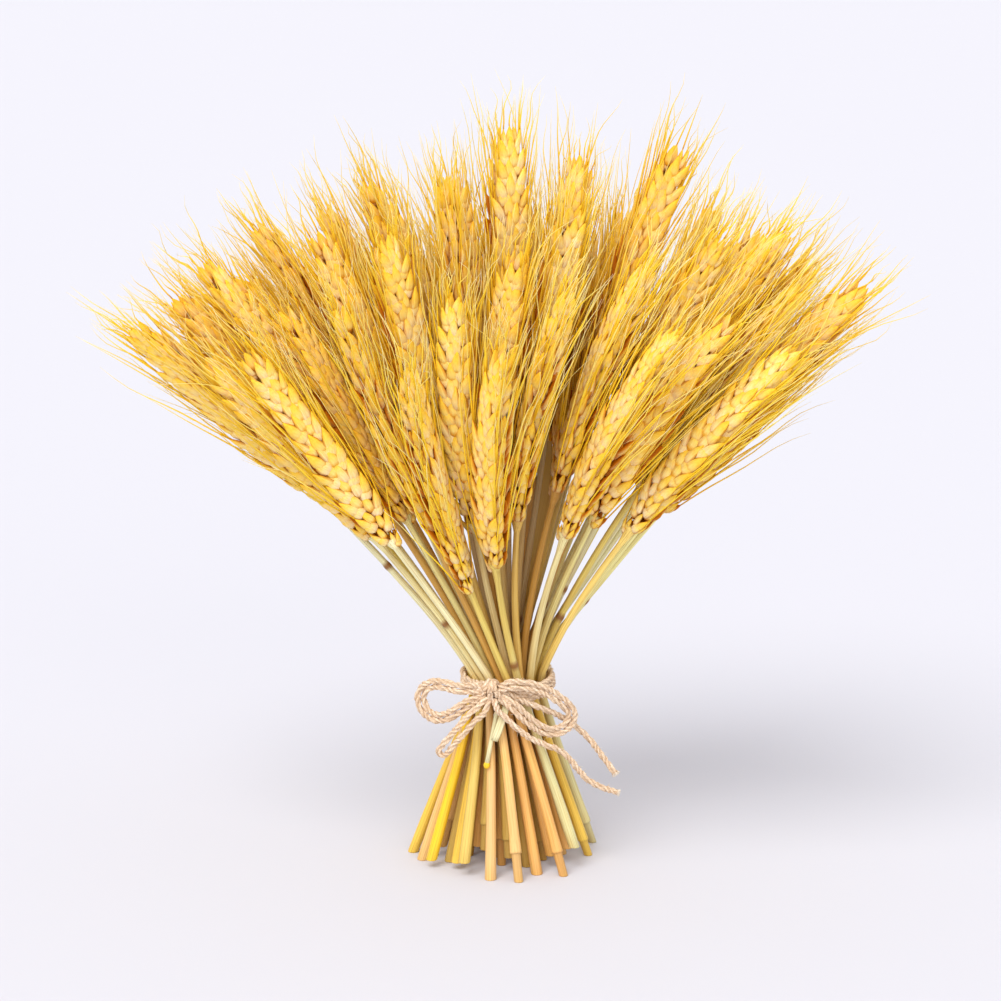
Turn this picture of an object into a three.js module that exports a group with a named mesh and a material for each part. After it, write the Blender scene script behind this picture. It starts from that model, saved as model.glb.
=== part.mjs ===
// A standing sheaf of dried wheat: fifty stalks drawn together by a doubled jute twine that ends in a bow.
// Millimetres, +Z up. The origin is the middle of the centre stalk's cut foot, on the surface that the
// sheaf stands on; +Y runs from the bow, at the front, to the back of the sheaf.
import * as THREE from "three";

// ---- driving dimensions -------------------------------------------------------------------------------

const STALK_COUNT = 50;
const TIE_HEIGHT = 70; // from the surface up to the middle of the twine's band
const CROWN_REACH = 214; // from the tie to the tip of an ear in the middle of the crown
const SIDE_SHORTFALL = 9; // how much nearer to the tie the ears end at the sides of the crown,
const FRONT_SHORTFALL = 66; // at its front, where they stand in tiers,
const BACK_SHORTFALL = 42; // and at its back
const REACH_SPREAD = 9; // the stalks weren't cut to one length: each reach varies by up to this, each way

const STEM_FOOT = 4.5; // stem diameters at the cut foot, in the tie and just under the ear
const STEM_TIED = 3.2;
const STEM_TOP = 2.4;
const STEM_CLEARANCE = 0.38; // left between neighbouring stems in the tie

const EAR_LENGTH = 100;
const EAR_WIDTH = 15; // across the two rows of spikelets
const EAR_THICKNESS = 10.5;
const EAR_CLEARANCE = 0.5; // left between neighbouring ears, and between an ear and a stem
const AWN_REACH = 22; // how far the longest bristles stand out past the tip of the ear
const AWN_TUFT = 1.4; // thickness of the closed tuft of bristles where it leaves the ear

const FOOT_LIFT = 9; // the shorter stems end up to this far above the surface
const STANDING_SHARE = 0.7; // the share of the stems that reach the surface

const TWINE = 2.2; // diameter of one strand
const BAND_TURNS = 3; // strands that lie above each other in the band
const TWINE_GAP = 0.5; // between the twine and whatever it lies against
const FOLD_OPEN = 1.7; // from the middle of the folded tail to each run of its strand
const KNOT = { width: 4.2 * TWINE, depth: 2.8 * TWINE, height: 4.2 * TWINE };
const KNOT_ANGLE = 17; // degrees that the knot sits left of the front

// How the sheaf opens above and below the tie. Every stem keeps its place in the bunch: the whole bunch is
// scaled and turned as it leaves the tie, so no two stems meet. The slopes are those of the outermost stems.
const SLOPE_ABOVE = 0.56; // outwards for each millimetre above the tie
const SLOPE_BELOW = 0.29; // and for each millimetre below it
const DROOP = 0.0021; // the ears' weight bends the stalks further out with the square of the height
const LEAN_ABOVE = 0.45; // sideways for each millimetre above the tie, so that the stems cross in it
const LEAN_BELOW = 0.28; // and for each millimetre below it
const LEAN_HEIGHT = 65; // the lean dies out over this height
const DEPTH_SHARE = 0.36; // the crown is a fan: it opens this much of its width from front to back
const TIE_SOFTNESS = 6; // height over which a squeezed stem bends from one slope to the other
const SWAY = 0.62; // each stalk's own wander, times how far the bunch has opened

const SECTION_SIDES = 6;
const STEM_STEP = 21; // length between the rings of a stem
const CURVE_STEP = 12; // height between the points that a stalk's centreline passes through
const COMB_STEP = 10; // height between the levels at which the stalks push each other apart

// How the bunch is drawn together and combed out. Neither is a size of the sheaf: they settle it smoothly.
const PACKING = {
  rounds: 1600,
  spacing: 0.6, // of the starting spiral, as a share of the pitch
  pull: 0.012, // the share by which the first round draws the stems in
  pulling: 0.7, // the share of the rounds in which the pull dies away
  near: 1.2, // pitches within which two stems can meet
  steepest: 1.1, // the lean is never taken for more than this many times the rim's
};
const COMBING = {
  rounds: 60,
  opened: 0.4, // the bunch is combed where it has grown by more than this share
  near: 1.7, // times the clearance two stalks need, within which they can meet
};

// ---- small helpers ------------------------------------------------------------------------------------

const degrees = (angle) => (angle * Math.PI) / 180;
const mix = (a, b, share) => a + (b - a) * share;

// A number from 0 to 1 that is always the same for the same stalk and the same purpose.
function chance(stalk, purpose) {
  const wave = Math.sin(stalk * 127.1 + purpose * 311.7) * 43758.5453;
  return wave - Math.floor(wave);
}

// Values from a to b, about a step apart, both ends included.
function evenly(a, b, step) {
  const count = Math.max(1, Math.round((b - a) / step));
  return Array.from({ length: count + 1 }, (_, i) => mix(a, b, i / count));
}

// A value read from a list of [position, value] pairs, straight between them.
function along(table, position) {
  const next = table.findIndex(([at]) => at >= position);
  if (next < 0) return table[table.length - 1][1];
  if (next === 0) return table[0][1];
  const [a, b] = [table[next - 1], table[next]];
  return mix(a[1], b[1], (position - a[0]) / (b[0] - a[0]));
}

// ---- where the stalks stand ---------------------------------------------------------------------------

// The places of the stems in the tie. They start in a sunflower's spiral, and the twine's pull then draws
// each one in while its neighbours push it off, until they all just clear each other.
function packStems() {
  const pitch = STEM_TIED + STEM_CLEARANCE;
  const golden = Math.PI * (3 - Math.sqrt(5));
  const places = Array.from({ length: STALK_COUNT }, (_, k) => {
    const out = k ? pitch * PACKING.spacing * Math.sqrt(k + 0.5) : 0;
    return new THREE.Vector2(out * Math.cos(k * golden), out * Math.sin(k * golden));
  });
  const leanInTie = (LEAN_ABOVE + LEAN_BELOW) / 2;
  const rim = 0.5 * pitch * Math.sqrt(STALK_COUNT);
  const middle = new THREE.Vector2();
  for (let turn = 0; turn < PACKING.rounds; turn++) {
    const pull = Math.max(0, PACKING.pull * (1 - turn / (PACKING.rounds * PACKING.pulling)));
    for (const place of places.slice(1)) place.multiplyScalar(1 - pull);
    places.forEach((a, i) =>
      places.slice(i + 1).forEach((b) => {
        const apart = b.clone().sub(a);
        if (apart.length() > PACKING.near * pitch) return;
        const round = a.clone().add(b).rotateAround(middle, Math.PI / 2).normalize();
        const outwards = a.clone().add(b).length() / (2 * rim);
        const leaning = leanInTie * Math.min(PACKING.steepest, outwards);
        const narrowed = 1 - 1 / Math.hypot(1, leaning); // a leaning stem takes more room round the sheaf
        const clear = apart.clone().addScaledVector(round, -narrowed * apart.dot(round)).length();
        if (clear >= pitch) return;
        const push = apart.setLength((pitch - clear) / (i ? 2 : 1)); // the centre stem stays on the axis
        b.add(push);
        if (i) a.sub(push);
      }),
    );
  }
  return places;
}

const places = packStems();
const bunchRadius = Math.max(...places.map((place) => place.length()));
const sways = places.map((_, stalk) => {
  const way = 2 * Math.PI * chance(stalk, 1);
  const far = stalk ? SWAY * Math.sqrt(chance(stalk, 2)) : 0;
  return new THREE.Vector2(far * Math.cos(way), far * Math.sin(way));
});

// A quantity that grows at one rate above the tie and another below it, with a soft bend between the two.
function bent(above, below, height) {
  const bend = Math.hypot(height, TIE_SOFTNESS) - TIE_SOFTNESS;
  return ((above - below) * bend + (above + below) * height) / 2;
}

// The bunch at a height above the tie: how much it has grown and how far it has turned.
function opening(height) {
  const droop = DROOP * Math.max(height, 0) ** 2;
  const out = bunchRadius + bent(SLOPE_ABOVE, -SLOPE_BELOW, height) + droop;
  const round = LEAN_HEIGHT * Math.tanh(bent(LEAN_ABOVE, LEAN_BELOW, height) / LEAN_HEIGHT);
  return { growth: Math.hypot(out, round) / bunchRadius - 1, turn: Math.atan2(round, out) };
}

// A point of a stalk's centreline, at a height above the tie.
function stalkPoint(stalk, height) {
  const { growth, turn } = opening(height);
  const { x, y } = places[stalk].clone().rotateAround(new THREE.Vector2(), -turn);
  const deep = height > 0 ? DEPTH_SHARE : 1;
  const sway = sways[stalk];
  return new THREE.Vector3(
    x * (1 + growth) + sway.x * growth,
    y * (1 + growth * deep) + sway.y * growth,
    TIE_HEIGHT + height,
  );
}

// The sheaf's outer radius at a height near the tie.
function sheafRadius(height) {
  const { growth } = opening(height);
  return bunchRadius * (1 + growth) + STEM_TIED / 2;
}

// ---- stalks -------------------------------------------------------------------------------------------

// The height above the tie at which a stalk's centreline is a given distance from the tie's middle.
function heightAtReach(stalk, reach) {
  const tie = new THREE.Vector3(0, 0, TIE_HEIGHT);
  let [low, high] = [0, reach];
  for (let i = 0; i < 40; i++) {
    const middle = (low + high) / 2;
    if (stalkPoint(stalk, middle).distanceTo(tie) < reach) low = middle;
    else high = middle;
  }
  return low;
}

function footHeight(stalk) {
  const stands = stalk === 0 || chance(stalk, 3) < STANDING_SHARE;
  return stands ? 0 : FOOT_LIFT * (0.25 + 0.75 * chance(stalk, 4));
}

// How far from the tie a stalk's ear ends.
function earReach(stalk) {
  const { turn } = opening(CROWN_REACH / 2);
  const place = places[stalk].clone().rotateAround(new THREE.Vector2(), -turn).divideScalar(bunchRadius);
  const shortfall = place.y < 0 ? FRONT_SHORTFALL : BACK_SHORTFALL;
  const varied = REACH_SPREAD * (2 * chance(stalk, 5) - 1);
  return CROWN_REACH - SIDE_SHORTFALL * place.x ** 2 - shortfall * Math.abs(place.y) + varied;
}

// Half the ear's width along it, as shares of EAR_LENGTH and EAR_WIDTH.
const EAR_OUTLINE = [
  [0.07, 0.29],
  [0.2, 0.47],
  [0.45, 0.5],
  [0.72, 0.43],
  [0.92, 0.24],
];

// The stalks push each other aside, where they stand out from the tie, until they all clear each other.
function combStalks() {
  const stalks = places.map((_, stalk) => stalk);
  const ears = stalks.map((stalk) => {
    const reach = earReach(stalk);
    return { foot: heightAtReach(stalk, reach - EAR_LENGTH), tip: heightAtReach(stalk, reach) };
  });
  const girth = (stalk, height) => {
    const { foot, tip } = ears[stalk];
    const share = (height - foot) / (tip - foot);
    if (share < 0) return STEM_FOOT / 2;
    return share > 1 ? AWN_TUFT : Math.max(STEM_TOP / 2, along(EAR_OUTLINE, share) * EAR_WIDTH);
  };
  const levels = evenly(-TIE_HEIGHT, CROWN_REACH + AWN_REACH, COMB_STEP).map((height) => ({
    height,
    growth: opening(height).growth,
    girths: stalks.map((stalk) => girth(stalk, height)),
  }));
  const opened = levels.filter(({ growth }) => growth > COMBING.opened);
  for (let turn = 0; turn < COMBING.rounds; turn++) {
    for (const { height, growth, girths } of opened) {
      const points = stalks.map((stalk) => stalkPoint(stalk, height));
      const ways = stalks.map((stalk) => stalkPoint(stalk, height + 1).sub(points[stalk]).normalize());
      for (let i = 0; i < STALK_COUNT; i++) {
        for (let j = i + 1; j < STALK_COUNT; j++) {
          const apart = points[j].clone().sub(points[i]);
          const need = girths[i] + girths[j] + EAR_CLEARANCE;
          if (apart.length() > COMBING.near * need) continue;
          const clear = apart.clone().cross(ways[i].clone().add(ways[j]).normalize()).length();
          if (clear >= need) continue;
          const push = apart.setLength((0.5 * (need - clear)) / growth);
          sways[j].add(push);
          if (i) sways[i].sub(push); // the centre stalk stays upright
        }
      }
    }
  }
}

// A stalk's centreline from its cut foot to the end of its bristles, with the lengths along it at which it
// passes the tie and the tip of the ear.
function stalkLine(stalk) {
  const reach = earReach(stalk);
  const [foot, tip] = [footHeight(stalk) - TIE_HEIGHT, heightAtReach(stalk, reach)];
  const top = heightAtReach(stalk, reach + AWN_REACH);
  const heights = [...evenly(foot, 0, CURVE_STEP), ...evenly(0, top, CURVE_STEP).slice(1)];
  const points = heights.map((height) => stalkPoint(stalk, height));
  const curve = new THREE.CatmullRomCurve3(points, false, "centripetal");
  curve.arcLengthDivisions = 400;
  const length = curve.getLength();
  const lengthAt = (height) => {
    const fine = 200;
    let [walked, last] = [0, stalkPoint(stalk, foot)];
    for (let i = 1; i <= fine; i++) {
      const next = stalkPoint(stalk, mix(foot, height, i / fine));
      walked += next.distanceTo(last);
      last = next;
    }
    return walked;
  };
  return { curve, length, tie: lengthAt(0), earTip: lengthAt(tip) };
}

// The stalk's outline as [length along it, radius] pairs: stem, ear and the closed tuft of its bristles.
function stalkOutline({ length, tie, earTip }) {
  const earFoot = earTip - EAR_LENGTH;
  const stemRadius = [
    [0, STEM_FOOT / 2],
    [tie, STEM_TIED / 2],
    [earFoot, STEM_TOP / 2],
  ];
  const waist = (BAND_TURNS * TWINE) / 2;
  const stations = [
    ...evenly(0, tie - waist, STEM_STEP),
    tie,
    ...evenly(tie + waist, earFoot, STEM_STEP),
  ];
  const stem = stations.map((at) => [at, along(stemRadius, at)]);
  const ear = EAR_OUTLINE.map(([share, half]) => [earFoot + share * EAR_LENGTH, half * EAR_WIDTH]);
  const tuft = [
    [earTip, AWN_TUFT / 2],
    [mix(earTip, length, 0.85), AWN_TUFT / 4],
  ];
  return { earFoot, rings: [...stem, ...ear, ...tuft] };
}

// Bends a shape turned about +Y onto a curve: Y becomes the length along the curve.
function bendOnto(geometry, curve, length, shapeSection) {
  const position = geometry.getAttribute("position");
  const vertex = new THREE.Vector3();
  for (let i = 0; i < position.count; i++) {
    vertex.fromBufferAttribute(position, i);
    const share = THREE.MathUtils.clamp(vertex.y / length, 0, 1);
    const tangent = curve.getTangentAt(share);
    const side = new THREE.Vector3(1, 0, 0).addScaledVector(tangent, -tangent.x).normalize();
    const depth = new THREE.Vector3().crossVectors(side, tangent);
    const [a, b] = shapeSection(vertex.x, vertex.z, vertex.y);
    const placed = curve.getPointAt(share).addScaledVector(side, a).addScaledVector(depth, b);
    if (vertex.y < 1e-6) placed.addScaledVector(tangent, (curve.points[0].z - placed.z) / tangent.z);
    position.setXYZ(i, placed.x, placed.y, placed.z);
  }
  geometry.computeVertexNormals();
  return geometry;
}

// One stalk, whole as it grew. The foot is cut level, and the ear is flatter one way than the other.
function stalkGeometry(stalk) {
  const line = stalkLine(stalk);
  const { earFoot, rings } = stalkOutline(line);
  const profile = [
    new THREE.Vector2(0, 0),
    ...rings.map(([at, radius]) => new THREE.Vector2(radius, at)),
    new THREE.Vector2(0, line.length),
  ];
  const roll = Math.PI * chance(stalk, 6);
  const flatter = EAR_THICKNESS / EAR_WIDTH;
  const section = (x, z, at) => {
    const flat = at > earFoot + 1 && at < line.earTip ? flatter : 1;
    return [
      x * Math.cos(roll) - z * flat * Math.sin(roll),
      x * Math.sin(roll) + z * flat * Math.cos(roll),
    ];
  };
  const turned = new THREE.LatheGeometry(profile, SECTION_SIDES);
  return bendOnto(turned, line.curve, line.length, section);
}

// ---- twine --------------------------------------------------------------------------------------------

// The band: the strands that lie round the stems, as one ring that follows the sheaf's waist.
function bandGeometry() {
  const half = (BAND_TURNS * TWINE) / 2;
  const heights = [-half, 0, half];
  const inner = heights.map((h) => new THREE.Vector2(sheafRadius(h) + TWINE_GAP, h));
  const outer = heights.map((h) => new THREE.Vector2(sheafRadius(h) + TWINE_GAP + TWINE, h));
  const profile = [...outer, ...inner.reverse(), outer[0].clone()];
  return new THREE.LatheGeometry(profile, 30).rotateX(Math.PI / 2);
}

function knotPlace() {
  const out = sheafRadius(0) + 2 * TWINE_GAP + TWINE + KNOT.depth / 2;
  const angle = degrees(KNOT_ANGLE);
  return new THREE.Vector3(-out * Math.sin(angle), -out * Math.cos(angle), 0.5);
}

function knotGeometry() {
  const ball = new THREE.SphereGeometry(0.5, 10, 8).rotateX(Math.PI / 2);
  return ball.scale(KNOT.width, KNOT.depth, KNOT.height).rotateZ(-degrees(KNOT_ANGLE));
}

// The routes of the bow, as points from the middle of the knot: each is the line between the two strands
// that run side by side, or one strand's own line on the tails that part.
const LEFT_LOOP = [
  [-6.6, -0.6, 1.5],
  [-9.7, -0.8, 1.3],
  [-13.4, 0, 1.3],
  [-17.4, 1.2, 2],
  [-21.4, 2.4, 2.4],
  [-25.2, 3.4, 1],
  [-27.3, 3.8, -2.2],
  [-27, 3.6, -6],
  [-24.8, 2.8, -9.4],
  [-21, 1.8, -10.9],
  [-16.6, 0.6, -9.7],
  [-12.1, -0.4, -6.7],
  [-8.6, -0.8, -4.3],
];
const RIGHT_LOOP = [
  [6.6, -1.2, 2.9],
  [11, -0.8, 2.8],
  [15.8, 0, 1.9],
  [20.6, 1, -0.1],
  [24.8, 2, -2.9],
  [28.2, 2.8, -5.9],
  [30.5, 3.2, -9.2],
  [30.3, 3.2, -12.6],
  [27.8, 2.4, -15.2],
  [24, 1, -16.2],
  [20, -0.6, -15.2],
  [15.8, -1.8, -12.4],
  [11.6, -2.6, -8.5],
  [8, -2.8, -4.9],
];
const LEFT_TAIL = [
  [-4.2, -4, -6.2],
  [-7.6, -4.4, -9.2],
  [-11.7, -4.6, -13.9],
  [-15.5, -4.4, -18.4],
  [-18.7, -4, -22.6],
];
const UPPER_TAIL = [
  [6.6, 0.9, -1.4],
  [10, 0.9, -3.2],
  [14.4, 1.3, -5.2],
  [21.3, 3.5, -8.5],
  [26.8, 5.8, -11.8],
  [32.3, 7, -15.9],
  [37.2, 7, -20.5],
  [42, 6, -26.6],
  [45, 5.2, -30.6],
  [47.5, 4.5, -33.7],
];
const LOWER_TAIL = [
  [2.2, -3.4, -6.4],
  [6, -3.6, -10.1],
  [10.5, -3.4, -14.4],
  [15.3, -2.8, -18.1],
  [20.5, -1.8, -20.7],
  [25.5, -0.8, -23],
  [29.6, 0, -26.6],
  [33, 0.6, -31.1],
  [36.5, 1, -35.1],
  [40.6, 1.4, -37.9],
  [44.7, 1.6, -39.6],
  [48.2, 1.6, -40.6],
];
const SIDE_BY_SIDE = (TWINE + TWINE_GAP) / 2; // from the line between two strands to each of them
const FRONT = new THREE.Vector3(0, -1, 0);

// A route shifted sideways in the upright plane that it turns in.
function besideRoute(points, shift) {
  const route = new THREE.CatmullRomCurve3(points.map((p) => new THREE.Vector3(...p)));
  const count = 2 * points.length;
  return Array.from({ length: count + 1 }, (_, i) => {
    const tangent = route.getTangentAt(i / count);
    const away = new THREE.Vector3().crossVectors(tangent, FRONT).normalize();
    return route.getPointAt(i / count).addScaledVector(away, shift);
  });
}

// A strand laid along a route and back beside itself, round the fold at the route's end.
function foldedGeometry(points) {
  const [out, back] = [1, -1].map((side) => besideRoute(points, side * FOLD_OPEN));
  const end = out.at(-1).clone().add(back.at(-1)).divideScalar(2);
  const before = new THREE.Vector3(...points.at(-2));
  const nose = end.clone().addScaledVector(end.clone().sub(before).normalize(), FOLD_OPEN);
  return tubeAlong([...out, nose, ...back.reverse()], TWINE);
}

function strandGeometry(points, shift = 0) {
  return tubeAlong(besideRoute(points, shift), 2 * TWINE);
}

function tubeAlong(points, step) {
  const route = new THREE.CatmullRomCurve3(points);
  const section = new THREE.Shape();
  const sides = 8;
  for (let i = 0; i < sides; i++) {
    const turn = (2 * Math.PI * i) / sides;
    const corner = [(TWINE / 2) * Math.cos(turn), (TWINE / 2) * Math.sin(turn)];
    if (i) section.lineTo(...corner);
    else section.moveTo(...corner);
  }
  const steps = Math.round(route.getLength() / step);
  return new THREE.ExtrudeGeometry(section, { steps, bevelEnabled: false, extrudePath: route });
}

// ---- materials and assembly ---------------------------------------------------------------------------

const straw = (hue) => new THREE.MeshStandardMaterial({ color: hue, roughness: 0.62, metalness: 0 });
const STRAW_TONES = [0xe9b63a, 0xe2a92f, 0xf0c64e, 0xdca43a].map(straw);
const jute = new THREE.MeshStandardMaterial({ color: 0xc9a67c, roughness: 0.95, metalness: 0 });

const sheaf = new THREE.Group();

function addNode(name, geometry, material, parent = sheaf) {
  const mesh = new THREE.Mesh(geometry, material);
  mesh.name = name;
  parent.add(mesh);
  return mesh;
}

combStalks();
for (let stalk = 0; stalk < STALK_COUNT; stalk++) {
  const name = "wheat_stalk_" + String(stalk + 1).padStart(2, "0");
  addNode(name, stalkGeometry(stalk), STRAW_TONES[stalk % STRAW_TONES.length]);
}

const tie = new THREE.Group();
tie.position.z = TIE_HEIGHT;
sheaf.add(tie);
addNode("twine_band", bandGeometry(), jute, tie);
const bow = new THREE.Group();
bow.position.copy(knotPlace());
tie.add(bow);
addNode("twine_knot", knotGeometry(), jute, bow);
for (const [strand, shift] of [["outer", -SIDE_BY_SIDE], ["inner", SIDE_BY_SIDE]]) {
  addNode("bow_loop_left_" + strand, strandGeometry(LEFT_LOOP, -shift), jute, bow);
  addNode("bow_loop_right_" + strand, strandGeometry(RIGHT_LOOP, shift), jute, bow);
}
addNode("bow_tail_left", foldedGeometry(LEFT_TAIL), jute, bow);
addNode("bow_tail_right_upper", strandGeometry(UPPER_TAIL), jute, bow);
addNode("bow_tail_right_lower", strandGeometry(LOWER_TAIL), jute, bow);

export default sheaf;
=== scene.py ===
# %% [markdown]
# # A standing sheaf of dried wheat
# Fifty stalks of bearded wheat are drawn together by a doubled jute twine and stand on their cut
# feet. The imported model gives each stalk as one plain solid. This lesson grows a real stalk on the
# line of each solid: a hollow straw with its joints, an ear of overlapping husks, and the long
# bristles, called awns, that stand out from them. The twine is laid straight and bent in the same
# way.

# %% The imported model
import math
import random

import bpy
import numpy as np
from mathutils import Matrix, Vector


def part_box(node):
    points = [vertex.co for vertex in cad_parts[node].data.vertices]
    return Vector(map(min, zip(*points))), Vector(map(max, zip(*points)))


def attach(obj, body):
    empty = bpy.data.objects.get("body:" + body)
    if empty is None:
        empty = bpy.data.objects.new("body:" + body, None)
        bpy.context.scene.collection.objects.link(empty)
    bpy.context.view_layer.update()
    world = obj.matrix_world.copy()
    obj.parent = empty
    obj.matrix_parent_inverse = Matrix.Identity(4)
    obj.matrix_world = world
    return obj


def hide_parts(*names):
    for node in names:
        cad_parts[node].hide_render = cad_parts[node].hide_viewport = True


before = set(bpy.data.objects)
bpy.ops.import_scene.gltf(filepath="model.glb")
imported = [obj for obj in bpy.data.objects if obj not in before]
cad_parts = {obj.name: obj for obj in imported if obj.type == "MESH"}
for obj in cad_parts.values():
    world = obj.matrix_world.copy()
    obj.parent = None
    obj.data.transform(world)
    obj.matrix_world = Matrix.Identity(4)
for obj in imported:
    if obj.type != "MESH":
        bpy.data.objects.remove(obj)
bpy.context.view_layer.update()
MM = 0.001

# %% [markdown]
# ## Camera
# The sheaf is seen from a little above. A short lens close by would swell the front ears and
# shrink the feet, so the camera stands over a metre away behind a long lens. It could be placed by
# typing a location, but then each change of distance would move the sheaf in the view. Here it
# steps back from its aim along its own line of sight, and the lens follows from the width that it
# has to show.

# %% Camera
CAMERA_RISE = math.radians(12)
CAMERA_DISTANCE = 1.15
AIM = Vector((-2.9 * MM, 0, 141 * MM))
FRAME_WIDTH = 385 * MM
SENSOR = 36

lens = bpy.data.cameras.new("long_lens")
lens.sensor_width = SENSOR
lens.lens = SENSOR * CAMERA_DISTANCE / FRAME_WIDTH
camera = bpy.data.objects.new("camera", lens)
bpy.context.scene.collection.objects.link(camera)
backward = Vector((0, -math.cos(CAMERA_RISE), math.sin(CAMERA_RISE)))
camera.location = AIM + backward * CAMERA_DISTANCE
camera.rotation_euler = (math.pi / 2 - CAMERA_RISE, 0, 0)
bpy.context.scene.camera = camera
print("lens:", round(lens.lens), "mm")

# %% [markdown]
# ## Light and floor
# Straw looks warm and full in wide, soft light, while a small lamp draws a hard shadow behind
# every awn. Area lamps would be soft too, but they fade with distance. A sun with a wide angle
# lights the foot and the crown alike, so two suns are used: a key from the upper left and a fill
# from the front. A pale sky opens the shadows. The Standard view keeps the yellows strong. The
# floor is one plane of matt paper, so wide that it fills the view.

# %% Light
WARM_WHITE = (1.0, 0.98, 0.95)
SUNS = {"key": ((0.36, 0.64, -0.98), 2.0, 40), "fill": ((-0.3, 1.0, -0.2), 0.7, 50)}
SKY_COLOUR = (0.97, 0.965, 1.0, 1)
SKY_STRENGTH = 0.86

for name, (towards, strength, softness) in SUNS.items():
    lamp = bpy.data.lights.new(name, "SUN")
    lamp.energy = strength
    lamp.angle = math.radians(softness)
    lamp.color = WARM_WHITE
    sun = bpy.data.objects.new(name, lamp)
    bpy.context.scene.collection.objects.link(sun)
    sun.rotation_euler = Vector(towards).to_track_quat("-Z", "Y").to_euler()
sky = bpy.data.worlds.new("pale_sky")
sky.use_nodes = True
sky.node_tree.nodes["Background"].inputs["Color"].default_value = SKY_COLOUR
sky.node_tree.nodes["Background"].inputs["Strength"].default_value = SKY_STRENGTH
bpy.context.scene.world = sky
bpy.context.scene.view_settings.view_transform = "Standard"
print("suns:", list(SUNS), "and a sky of strength", SKY_STRENGTH)

# %% Floor
FLOOR_WIDTH = 60
UNDER_THE_FEET = -0.1 * MM
PAPER_COLOUR = (0.66, 0.66, 0.712, 1)

bpy.ops.object.select_all(action="DESELECT")
bpy.ops.mesh.primitive_plane_add(size=FLOOR_WIDTH, location=(0, 0, UNDER_THE_FEET))
floor = bpy.context.object
floor.name = "floor"
paper = bpy.data.materials.new("pale_paper")
paper.use_nodes = True
paper.node_tree.nodes["Principled BSDF"].inputs["Base Color"].default_value = PAPER_COLOUR
paper.node_tree.nodes["Principled BSDF"].inputs["Roughness"].default_value = 0.9
floor.data.materials.append(paper)
print("floor:", FLOOR_WIDTH, "m wide")

# %% [markdown]
# ## Material tools
# A finish is a net of nodes, and it could be built by adding and linking them one at a time. It is
# easier to read as arithmetic. `Wire` wraps a socket, so that an expression on wires adds its Math
# nodes, and `Finish.node` adds any other node with its settings and inputs.

# %% Shader arithmetic
class Wire:
    """One value on its way through a material's nodes."""

    def __init__(self, finish, socket):
        self.finish = finish
        self.socket = socket

    def math(self, operation, first, second):
        return self.finish.node("ShaderNodeMath", {"operation": operation}, {0: first, 1: second})

    def __sub__(self, other):
        return self.math("SUBTRACT", self, other)

    def __rsub__(self, other):
        return self.math("SUBTRACT", other, self)

    def __mul__(self, other):
        return self.math("MULTIPLY", self, other)

    def __rmul__(self, other):
        return self.math("MULTIPLY", other, self)

    def whole(self):
        return self.math("FLOOR", self, 0.0)


# %% A finish
class Finish:
    """A material that is built around one Principled shader."""

    def __init__(self, name, **constants):
        self.material = bpy.data.materials.new(name)
        self.material.use_nodes = True
        self.tree = self.material.node_tree
        self.surface = self.tree.nodes["Principled BSDF"]
        for socket, value in constants.items():
            self.surface.inputs[socket.replace("_", " ")].default_value = value

    def node(self, kind, settings, inputs, output=0):
        made = self.tree.nodes.new(kind)
        for key, value in settings.items():
            if key == "stops":
                self.set_stops(made.color_ramp, value)
            else:
                setattr(made, key, value)
        for key, value in inputs.items():
            if isinstance(value, Wire):
                self.tree.links.new(value.socket, made.inputs[key])
            else:
                made.inputs[key].default_value = value
        return Wire(self, made.outputs[output])

    def set_stops(self, ramp, stops):
        while len(ramp.elements) < len(stops):
            ramp.elements.new(0.5)
        for element, (position, colour) in zip(ramp.elements, stops):
            element.position = position
            element.color = (*colour, 1)

    def attribute(self, name, output="Fac"):
        return self.node("ShaderNodeAttribute", {"attribute_name": name}, {}, output)

    def noise(self, where, scale, detail=2.0):
        inputs = {"Vector": where, "Scale": scale, "Detail": detail}
        return self.node("ShaderNodeTexNoise", {}, inputs)

    def stretched(self, where, scale):
        return self.node("ShaderNodeMapping", {}, {"Vector": where, "Scale": scale})

    def ramp(self, value, stops, interpolation="LINEAR"):
        made = self.node("ShaderNodeValToRGB", {"stops": stops}, {"Fac": value})
        made.socket.node.color_ramp.interpolation = interpolation
        return made

    def tinted(self, share, under, over):
        """A share of one colour laid over another."""
        if isinstance(over, tuple):
            over = (*over, 1)
        settings = {"data_type": "RGBA", "blend_type": "MIX", "clamp_factor": True}
        return self.node("ShaderNodeMix", settings, {0: share, 6: under, 7: over}, 2)

    def feed(self, socket, wire):
        self.tree.links.new(wire.socket, self.surface.inputs[socket])

    def bump(self, height, strength, distance):
        inputs = {"Height": height, "Strength": strength, "Distance": distance}
        self.feed("Normal", self.node("ShaderNodeBump", {}, inputs))


def shade(*rgb):
    """A colour as it looks on a screen, 0 to 255, as the linear numbers that a shader takes."""
    linear = [c / 255 / 12.92 if c <= 10 else ((c / 255 + 0.055) / 1.055) ** 2.4 for c in rgb]
    return tuple(linear)


print("a middle tan in linear numbers:", [round(c, 3) for c in shade(188, 150, 114)])

# %% [markdown]
# ## Jute
# Jute is a coarse tan fibre. Its light and dark fibres lie side by side in each ply, and the
# grooves between the plies hold shadow. A plain tan with a bump would look like clay. Two noises
# are drawn out along the fibres instead, one fine and one broad. They read the `rest` attribute, a
# point's place in the straight twine, so they follow it round every bend. The `groove` attribute
# is 1 in a groove and 0 on a ply's back.

# %% Jute finish
JUTE_FIBRES = [
    (0.3, shade(188, 150, 114)),
    (0.45, shade(230, 200, 166)),
    (0.56, shade(246, 224, 196)),
    (0.7, shade(255, 245, 228)),
]
WEATHERED_JUTE = shade(196, 152, 108)
JUTE_SHADOW = shade(156, 118, 82)

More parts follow.
